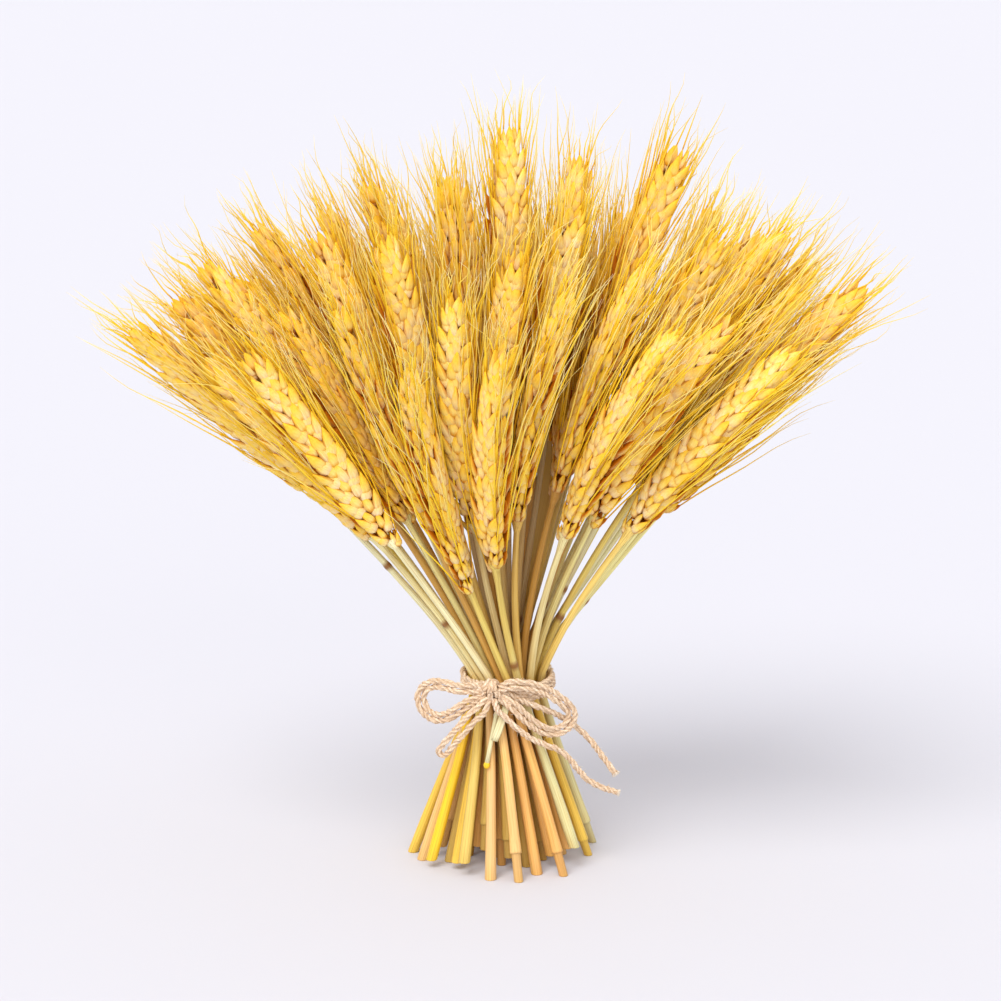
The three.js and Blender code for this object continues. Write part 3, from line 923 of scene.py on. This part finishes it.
def placed_awn(shell_place, awn_length):
    """An awn that leaves the tip of the shell at shell_place and turns up along the ear."""
    tip = shell_place @ AWN_ROOT
    way = (shell_place.to_3x3() @ UP).normalized().lerp(UP, 0.55)
    way += Vector((chance.gauss(0, 0.045), chance.gauss(0, 0.045), 0))
    past_ear = EAR_LENGTH + chance.gauss(*AWN_PAST_EAR) - tip.z
    reach = max(SHORTEST_AWN, min(awn_length * chance.uniform(0.75, 1.1), past_ear))
    aim = UP.rotation_difference(way).to_matrix().to_4x4()
    return placed_copy(awn, Matrix.Translation(tip) @ aim @ Matrix.Diagonal((1, 1, reach, 1)))


def spikelet(place, size, awn_length):
    """One spikelet's shells and awns. Its back faces local +X."""
    parts = []
    for which, out, depth, rise, tilt, spread, facing, has_awn in SHELLS:
        sideways = -math.copysign(spread, depth) * (depth != 0)
        lean = turn("X", sideways + chance.gauss(0, 3)) @ turn("Y", tilt + chance.gauss(0, 3.5))
        lean = lean @ turn("Z", facing + chance.gauss(0, 8))
        here = place @ shift(out * size, depth * size, rise * size) @ lean @ Matrix.Scale(size, 4)
        is_glume = which == "glume"
        shell = placed_copy(glume if is_glume else lemma, here)
        note(shell.data, "pale", chance.uniform(*(GLUME_PALE if is_glume else LEMMA_PALE)))
        parts.append(shell)
        if has_awn:
            parts.append(placed_awn(here, awn_length))
    return parts


print("in a spikelet:", len(SHELLS), "shells,", sum(shell[-1] for shell in SHELLS), "awns")

# %% Building an ear
KINDS_OF_EAR = 6
SPIKELETS = 24
LAST_SPIKELET = EAR_LENGTH - 13
SIZE_UP_THE_EAR = ([0, 0.06, 0.2, 0.45, 0.7, 1], [0.5, 0.66, 0.94, 1.06, 1.04, 0.8])
GIRTH_UP_THE_EAR = ([0, 6, 20, 60, 84, 100], [0.35, 0.6, 0.95, 1, 0.7, 0.4])
HALF_WIDTH, HALF_DEPTH = 7.5, 5.6
RACHIS_RINGS = [(h, 0.85 - 0.005 * h, 0.85 - 0.005 * h, 0) for h in range(0, 91, 10)]


def note_depth(ear):
    """Notes how far each point lies from the ear's middle, for the painted shade there, and fades
    the painted rim shade near its tip.
    """
    co = coordinates(ear.data)
    girth = np.interp(co[:, 2], *GIRTH_UP_THE_EAR)
    reach = np.hypot(co[:, 0] / HALF_WIDTH, co[:, 1] / HALF_DEPTH) / girth
    lift = np.clip((reach - 0.22) / 0.45, 0, 1)
    note(ear.data, "lift", np.where(co[:, 2] > 90, 1.0, lift))
    note(ear.data, "rim", noted(ear.data, "rim") * np.interp(co[:, 2], [68, 84], [1, 0.25]))


def build_ear(kind):
    parts = []
    for k in range(SPIKELETS):
        share = k / (SPIKELETS - 1)
        size = float(np.interp(share, *SIZE_UP_THE_EAR))
        side = 180 * (k % 2) + chance.uniform(-9, 9)
        place = shift(0, 0, share * LAST_SPIKELET)
        outward = 17 - 8 * share + chance.uniform(-3, 3)
        if k == SPIKELETS - 1:
            place = place @ turn("Z", 90)
        else:
            place = place @ turn("Z", side) @ shift(0.5, 0, 0) @ turn("Y", outward)
        parts += spikelet(place, size, 56 - 12 * share)
    parts.append(mark(drawn_up("rachis", 6, RACHIS_RINGS), husk))
    for number, part in enumerate(parts):
        note(part.data, "number", number)
    ear = join("ear_kind_%d" % kind, parts)
    note_depth(ear)
    return ear


ears = [build_ear(kind) for kind in range(KINDS_OF_EAR)]
print("faces in an ear:", [len(ear.data.polygons) for ear in ears])

# %% [markdown]
# ## Reading a stalk's line from its solid
# Each packed stalk is a row of six-sided rings around the line that the stalk grew on. The lines
# could be typed in here, fifty of them, but a change of the solids would leave them behind.
# Walking over the mesh from its tip, one ring after another, gives each line, the stalk's
# thickness all the way, where the ear starts, and which way the ear is wide.

# %% The line of a stalk
GRAIN = 0.01 * MM
RINGS_ABOVE_EAR_FOOT = 8
RINGS_ABOVE_EAR_TIP = 2


def rings_of(mesh):
    """The mesh's rings of points, from its foot to its tip."""
    mesh.calc_loop_triangles()
    corners = np.empty(len(mesh.loop_triangles) * 3, dtype=np.int32)
    mesh.loop_triangles.foreach_get("vertices", corners)
    grid, same = np.unique(np.round(coordinates(mesh) / GRAIN), axis=0, return_inverse=True)
    points = grid * GRAIN
    near = [set() for _ in points]
    for a, b, c in same.ravel()[corners].reshape(-1, 3):
        near[a] |= {b, c}
        near[b] |= {a, c}
        near[c] |= {a, b}
    ring = {int(points[:, 2].argmax())}
    seen = set(ring)
    rings = []
    while ring:
        rings.append(points[sorted(ring)])
        ring = set().union(*(near[k] for k in ring)) - seen
        seen |= ring
    return [r for r in reversed(rings) if len(r) > 1] + [rings[0]]


class StalkLine:
    """What a plain solid says about the stalk that stands for it."""

    def __init__(self, node):
        rings = rings_of(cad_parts[node].data)
        centres = np.array([r.mean(axis=0) for r in rings])
        reaches = [np.linalg.norm(r - c, axis=1).max() for r, c in zip(rings, centres)]
        self.radii = np.array(reaches)
        steps = np.linalg.norm(np.diff(centres, axis=0), axis=1)
        self.at_ring = np.concatenate([[0], np.cumsum(steps)])
        self.ear_foot = self.at_ring[-RINGS_ABOVE_EAR_FOOT - 1]
        self.ear_tip = self.at_ring[-RINGS_ABOVE_EAR_TIP - 1]
        widest = rings[int(self.radii.argmax())]
        across = np.linalg.svd(widest - widest.mean(axis=0))[2][0]
        self.path = Path(centres, across)

    def thickness(self, height):
        """The radius at a height along the stalk, both in millimetres."""
        return float(np.interp(height * MM, self.at_ring, self.radii)) / MM


STALKS = sorted(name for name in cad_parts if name.startswith("wheat_stalk_"))
lines = {name: StalkLine(name) for name in STALKS}
lengths = [line.path.length / MM for line in lines.values()]
print(len(lines), "stalks,", round(min(lengths)), "to", round(max(lengths)), "mm long")

# %% [markdown]
# ## Straws
# A straw could be a bevelled curve, but its hollow foot, its sheath and its joint would then need
# pieces of their own. It is drawn up ring by ring instead, by the thickness read from the solid,
# starting inside the cut foot, so that the tube is hollow. On nearly half of the stalks the dry
# sheath of the last leaf wraps the straw and ends a little above the cut. On a quarter of them a
# brown joint swells where a leaf once grew.

# %% The rings of a straw
HOLLOW_DEPTH = 7.0
RING_STEP = 7.0
INTO_THE_EAR = 4
BARE_CORE = 0.78
NO_JOINT = -50
JOINT_REACH = 4
FOOT_RINGS = 5
# Around the joint: (height, how much it swells, how brown it is)
JOINT_SWELL = [
    (-2.6, 1.0, 0), (-1.3, 1.06, 0.5), (-0.4, 1.13, 1),
    (0.6, 1.12, 1), (1.4, 1.02, 0.6), (2.4, 0.95, 0),
]


def straw_rings(line):
    """The outline of one straw, as (height, radius, how brown) from inside its foot upwards."""
    def thick(height):
        return 0.97 * line.thickness(height)

    top = line.ear_foot / MM + INTO_THE_EAR
    bare_foot = chance.random() < 0.45
    sheath_end = chance.uniform(4, 11) if bare_foot else 0
    joint = chance.uniform(0.42, 0.8) * top if chance.random() < 0.25 else NO_JOINT
    foot = thick(0) * (BARE_CORE if bare_foot else 1.0)
    rings = [(HOLLOW_DEPTH, foot * 0.6, 0), (0.3, foot * 0.64, 0), (0, foot * 0.7, 0)]
    rings += [(0, foot * 0.96, 0), (0.25, foot, 0)]
    if bare_foot:
        rings += [(sheath_end - 0.1, foot, 0.25), (sheath_end, foot * 1.02, 0.5)]
        rings += [(sheath_end + 0.05, thick(0) * 0.98, 0.15), (sheath_end + 0.8, thick(0), 0)]
    for height in np.arange(sheath_end + RING_STEP, top, RING_STEP):
        if abs(height - joint) > JOINT_REACH:
            rings.append((float(height), thick(height), 0))
    rings.append((top, thick(top), 0))
    if joint > 0:
        rings += [(joint + up, thick(joint) * swell, brown) for up, swell, brown in JOINT_SWELL]
    return rings[:FOOT_RINGS] + sorted(rings[FOOT_RINGS:], key=lambda ring: ring[0])


# %% Shade and cut
SHEAF_REACH = 17.5 * MM
SHEAF_TOP = 190 * MM
FADE_BELOW_TOP = 80 * MM
CUT_HEIGHT = 12


def sheaf_shade(co):
    """Painted shade, 1 in the sheaf's middle and 0 at its surface or near its top, for places in
    metres.
    """
    above = co[:, 2] - TIE_HEIGHT
    reach = SHEAF_REACH + np.where(above > 0, 0.45, 0.3) * np.abs(above)
    flatness = np.interp(above, [0.06, 0.12], [1, 0.5])
    reached = np.hypot(co[:, 0], co[:, 1] / flatness) / reach
    fade = np.clip((SHEAF_TOP - above) / FADE_BELOW_TOP, 0, 1)
    return np.clip(1.65 - 1.95 * reached, 0, 1) * fade


def cut_level(stem, path):
    """Levels the foot of a bent stem, as the sheaf's foot is cut across once it is tied."""
    heights = np.array([rest.vector[2] for rest in stem.data.attributes["rest"].data])
    co = coordinates(stem.data)
    middle = np.interp(heights * MM, path.run, path.curve[:, 2])
    co[:, 2] += (middle - co[:, 2]) * np.clip(1 - heights / CUT_HEIGHT, 0, 1)
    set_places(stem, co)


# %% Drawing a straw
STRAW_SIDES = 10
ABOVE_THE_TIE = 62
TONE_CHANGE = 24


def draw_straw(name, line):
    """A whole stem, bent onto its line and cut level."""
    rings = straw_rings(line)
    stem = mark(drawn_up(name, STRAW_SIDES, [(h, r, r, 0) for h, r, _ in rings]), straw)
    note(stem.data, "dye", chance.random())
    height = coordinates(stem.data)[:, 2]
    heights, _, browns = zip(*rings[FOOT_RINGS:])
    note(stem.data, "joint", np.interp(height, heights, browns))
    note(stem.data, "above", np.clip((height - ABOVE_THE_TIE) / TONE_CHANGE, 0, 1))
    bend_mesh(stem, line.path)
    cut_level(stem, line.path)
    # How much painted shade the stem gets deep in the sheaf.
    note(stem.data, "inner", sheaf_shade(coordinates(stem.data)))
    return stem


# %% [markdown]
# ## Strays
# A few pieces are torn from their stalks or still cling to them: a strip of sheath and a short
# broken stem with a dry nub hang out under the knot, and two dry leaves hug the stems in the
# middle. A leaf could be a single sheet, but a sheet with no thickness shows no edge. Each stray
# is a flat closed part on a route of its own, in millimetres from the sheaf's foot, and is joined
# to the stalk that it touches.

# %% Strays
SHEATH_ROUTE = [(-0.6, -19.2, 67), (-1.4, -21.6, 62), (-3.2, -22.4, 57), (-5.1, -22, 51.8)]
SHEATH_RINGS = [
    (0, 0.9, 0.3, 0), (4, 1.4, 0.3, 0), (12, 1.6, 0.28, 0), (15, 1.5, 0.25, 0), (17, 1.35, 0.2, 0),
]
STUB_ROUTE = [(-3.2, -17.2, 68), (-5.4, -19.4, 57), (-7.4, -21, 46), (-8.6, -21.6, 39.4)]
STUB_RINGS = [(0, 0.8, 0.8, 0), (20, 0.85, 0.85, 0), (26.4, 0.9, 0.9, 0)]
NUB_RINGS = [
    (26.2, 0.8, 0.8, 0), (26.6, 1.2, 1.0, 0.1), (27.6, 1.3, 0.9, 0.3), (28.4, 0.8, 0.6, 0.2),
    (28.8, 0.3, 0.3, 0),
]
LEAF_ROUTE = [
    (5.3, 3.9, 98), (7.4, 4.4, 110), (10.4, 4.8, 120), (12.8, 5.2, 132), (14.4, 5.8, 144),
    (15.6, 6.4, 157),
]
INNER_LEAF_ROUTE = [
    (2.4, 3.7, 90), (4.2, 4, 105), (6.1, 4.5, 120), (7.8, 5, 133), (9.2, 5.6, 146),
    (10.6, 6.2, 159),
]
LEAF_RINGS = [
    (0, 1, 0.4, 0), (6, 2.1, 0.25, 0.1), (20, 2.9, 0.2, 0.3), (46, 2.8, 0.15, 0.2),
    (66, 0.9, 0.1, 0),
]
STRAY_SIDES = 8
# Each stray: (route, rings, dye, whether it takes the tones above the tie)
STRAYS = {
    "torn_sheath": (SHEATH_ROUTE, SHEATH_RINGS, 0.64, 1),
    "short_stem": (STUB_ROUTE, STUB_RINGS, 0.9, 1),
    "nub": (STUB_ROUTE, NUB_RINGS, 0.45, 0),
    "dry_leaf": (LEAF_ROUTE, LEAF_RINGS, 0.863, 1),
    "inner_leaf": (INNER_LEAF_ROUTE, LEAF_RINGS, 0.794, 1),
}


def nearest_stalk(place):
    def distance(node):
        return np.linalg.norm(lines[node].path.curve - place, axis=1).min()

    return min(lines, key=distance)


strays = {}
for name, (route, rings, dye_share, above) in STRAYS.items():
    route = np.array(route) * MM
    part = mark(drawn_up(name, STRAY_SIDES, rings), straw)
    note(part.data, "dye", dye_share)
    note(part.data, "above", above)
    bend_mesh(part, Path(route, (1, 0, 0)))
    # How much painted shade the stray gets deep in the sheaf.
    note(part.data, "inner", sheaf_shade(coordinates(part.data)))
    strays.setdefault(nearest_stalk(route[1]), []).append(part)
print("strays go with", sorted(strays))

# %% [markdown]
# ## Growing the stalks
# Each stalk is a copy of one kind of ear on its own straw, bent onto its line. Fifty copies of six
# ears would repeat themselves, and fifty ears of their own would take long to build. So about
# every other ear is turned round, and before it is bent each awn gets its own curl and waver,
# which makes every ear different. `tone` is the stalk's ripeness: it follows its place in the
# sheaf, with some chance.

# %% Curling the awns
SWEEP = 2.0
WAVER = 1.25
WAVES = 1.3
# How hard an awn sweeps, and how often
TEMPERS = [0.8, 1, 3.2]
TEMPER_SHARES = [0.5, 0.42, 0.08]

dice = np.random.default_rng(5)


def curl_awns(ear):
    """The ear's coordinates, with each awn bent its own way, more and more towards its tip."""
    co = coordinates(ear.data)
    along = noted(ear.data, "along")
    number = noted(ear.data, "number").astype(int)
    count = number.max() + 1
    sweep = dice.normal(0, SWEEP, (count, 2))
    sweep = (sweep * dice.choice(TEMPERS, (count, 1), p=TEMPER_SHARES))[number]
    waver = dice.normal(0, WAVER, (count, 2))[number]
    phase = dice.uniform(0, 2 * math.pi, count)[number]
    wave = (np.sin(phase + along * WAVES * 2 * math.pi) * along ** 1.4)[:, None]
    curl = sweep * along[:, None] ** 2 + waver * wave
    co[:, :2] += noted(ear.data, "bristle")[:, None] * curl
    return co


# %% Growing a stalk
CROWN_POINT = -30


def ripeness(place):
    """Riper towards the back and the left of the sheaf, and towards its sides."""
    tone = 0.32 + 3.5 * place[1] + 2.2 * abs(place[0]) - 0.9 * place[0]
    return min(1, max(0, tone + chance.uniform(-0.35, 0.35)))


def grow(node, line, number):
    name = node.replace("wheat_stalk", "stalk")
    ear = placed_copy(ears[number % KINDS_OF_EAR], Matrix.Identity(4))
    co = curl_awns(ear)
    if chance.random() < 0.5:
        co[:, :2] *= -1
    stretch = (line.ear_tip - line.ear_foot) / MM / EAR_LENGTH
    co[:, 2] = co[:, 2] * stretch + line.ear_foot / MM
    set_places(ear, line.path.bend(co))
    # How much painted shade the ear gets deep in the sheaf.
    note(ear.data, "inner", sheaf_shade(coordinates(ear.data)))
    stalk = join(name, [draw_straw(name, line), ear] + strays.get(node, []))
    note(stalk.data, "tone", ripeness(line.path.curve[CROWN_POINT]))
    stands_for(stalk, node)
    return stalk


stalks = [grow(node, lines[node], number) for number, node in enumerate(STALKS)]
faces = [len(p.vertices) for stalk in stalks for p in stalk.data.polygons]
print("triangles in the stalks:", sum(faces) - 2 * len(faces))

# %% Clearing the bench
for pattern in ears + [lemma, glume, awn, fibre]:
    bpy.data.objects.remove(pattern, do_unlink=True)
print("pieces:", len(stalks), "stalks,", len(BOW), "strands, the band and the knot")
